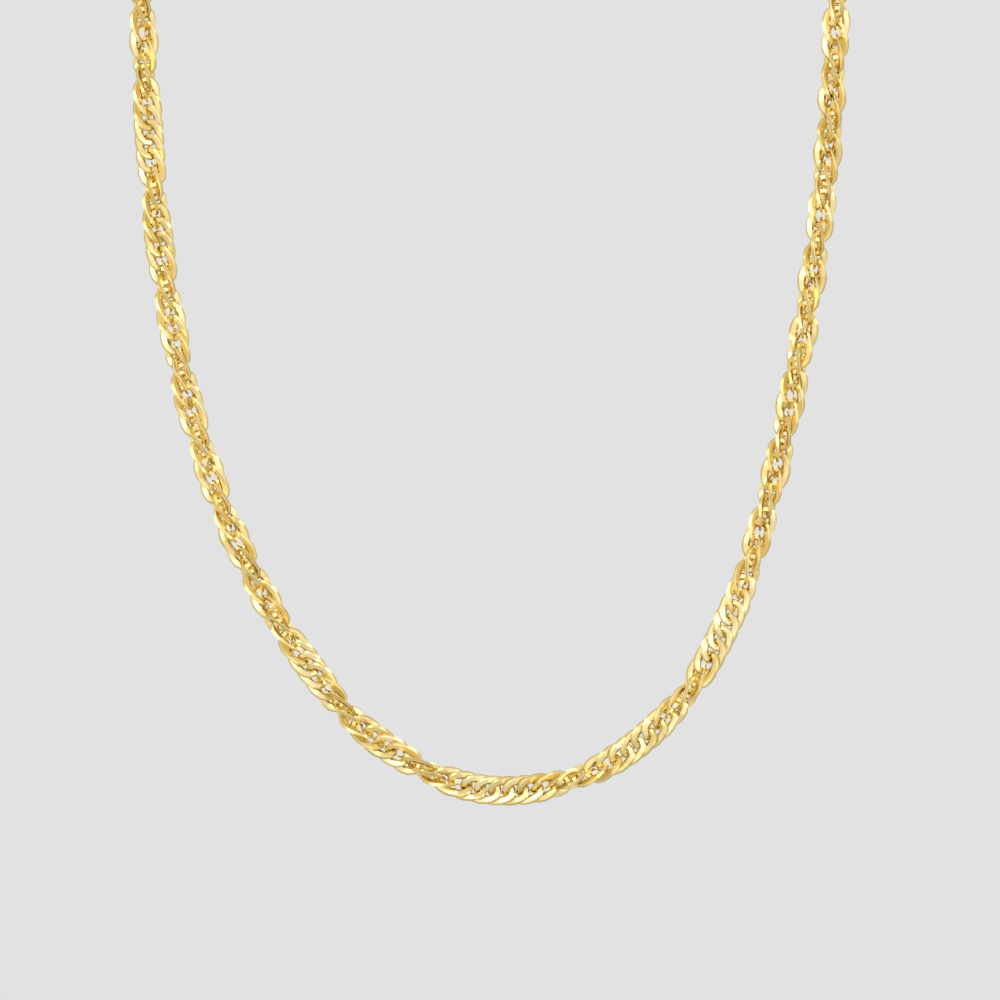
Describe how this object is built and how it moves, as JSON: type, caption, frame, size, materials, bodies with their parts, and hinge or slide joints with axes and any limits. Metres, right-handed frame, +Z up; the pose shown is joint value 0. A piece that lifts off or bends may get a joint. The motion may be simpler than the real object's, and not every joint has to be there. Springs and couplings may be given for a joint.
{
  "type": "singapore chain",
  "caption": "Fine necklace chain of twisted, flattened curb links, closed by a round bolt-ring clasp, hanging as a long loop.",
  "frame": {"origin": "inside of the loop at its top: the underside of the clasp, where a neck or a peg carries the necklace", "axes": "+Z up along the hanging loop, +X across the loop to the viewer's right, +Y away from the viewer through the loop"},
  "size_m": [0.063, 0.004, 0.1985],
  "materials": {
    "chain_gold": "polished yellow gold with flat cut faces",
    "clasp_gold": "polished yellow gold"
  },
  "bodies": {
    "root": {"chain": "chain_gold", "end_link_left": "chain_gold", "end_link_right": "chain_gold", "clasp": "clasp_gold", "clasp_ring": "clasp_gold", "end_ring": "clasp_gold"}
  },
  "joints": []
}
